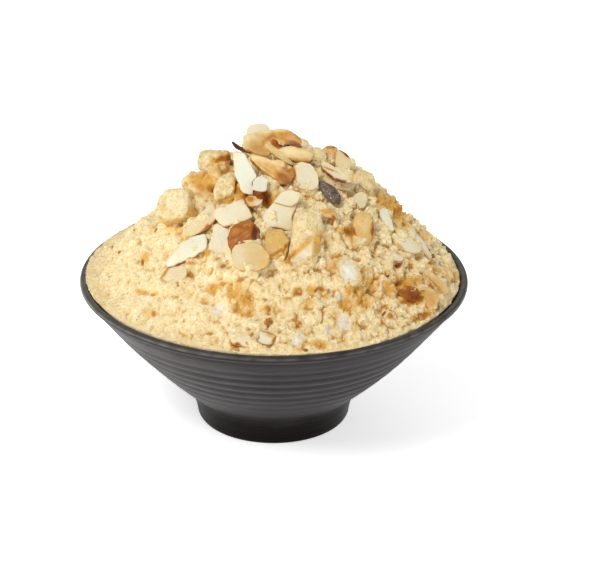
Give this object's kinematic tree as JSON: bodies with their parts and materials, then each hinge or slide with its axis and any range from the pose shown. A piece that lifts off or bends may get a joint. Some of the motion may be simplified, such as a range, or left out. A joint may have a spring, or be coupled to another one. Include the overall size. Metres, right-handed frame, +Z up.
{
  "type": "shaved ice dessert",
  "caption": "Shaved ice heaped in a turned dark stoneware bowl, under roasted soybean powder, with rice cakes, sliced and toasted almonds and a pumpkin seed on top",
  "frame": {"origin": "centre of the circle that the bowl's foot stands on", "axes": "+Z up along the bowl's axis, -Y towards the front, where the pumpkin seed lies right of the top"},
  "size_m": [0.2, 0.1994, 0.16],
  "materials": {
    "glazed_stoneware": "satin",
    "soybean_powder": "matte",
    "powdered_rice_cake": "matte",
    "sliced_almond": "matte",
    "toasted_almond": "satin",
    "almond_skin": "satin",
    "pumpkin_husk": "satin"
  },
  "bodies": {
    "root": {"bowl": "glazed_stoneware", "brown_slab": "toasted_almond", "cake_back_left": "powdered_rice_cake", "cake_back_low": "powdered_rice_cake", "cake_back_right": "powdered_rice_cake", "cake_bare": "powdered_rice_cake", "cake_left": "powdered_rice_cake", "cake_left_clump": "powdered_rice_cake", "cake_left_peak": "powdered_rice_cake", "cake_long": "powdered_rice_cake", "cake_right_shoulder": "powdered_rice_cake", "cake_speckled": "powdered_rice_cake", "cake_top_right": "powdered_rice_cake", "cake_upper": "powdered_rice_cake", "crown_slice": "sliced_almond", "ice_heap": "soybean_powder", "pale_half": "toasted_almond", "pumpkin_seed": "pumpkin_husk", "skin_chunk": "almond_skin", "slice_a": "sliced_almond", "slice_arch": "sliced_almond", "slice_b": "sliced_almond", "slice_back_a": "sliced_almond", "slice_back_b": "sliced_almond", "slice_back_c": "sliced_almond", "slice_back_d": "sliced_almond", "slice_back_e": "sliced_almond", "slice_c": "sliced_almond", "slice_cream": "sliced_almond", "slice_curl": "sliced_almond", "slice_curled": "sliced_almond", "slice_d": "sliced_almond", "slice_dark_edge": "sliced_almond", "slice_e": "sliced_almond", "slice_f": "sliced_almond", "slice_front": "sliced_almond", "slice_front_left": "sliced_almond", "slice_g": "sliced_almond", "slice_g_upper": "sliced_almond", "slice_grey": "sliced_almond", "slice_h": "sliced_almond", "slice_i": "sliced_almond", "slice_rim": "sliced_almond", "slice_rim_slab": "sliced_almond", "slice_sliver": "sliced_almond", "slice_stack": "sliced_almond", "slice_stack_low": "sliced_almond", "slice_stick": "sliced_almond", "slice_strip": "sliced_almond", "slice_tan_chip": "sliced_almond", "slice_white": "sliced_almond", "slice_white_bit": "sliced_almond", "slice_white_chip": "sliced_almond", "tan_slab": "toasted_almond", "toasted_back": "toasted_almond", "toasted_half": "toasted_almond", "toasted_slab": "toasted_almond"}
  },
  "joints": []
}
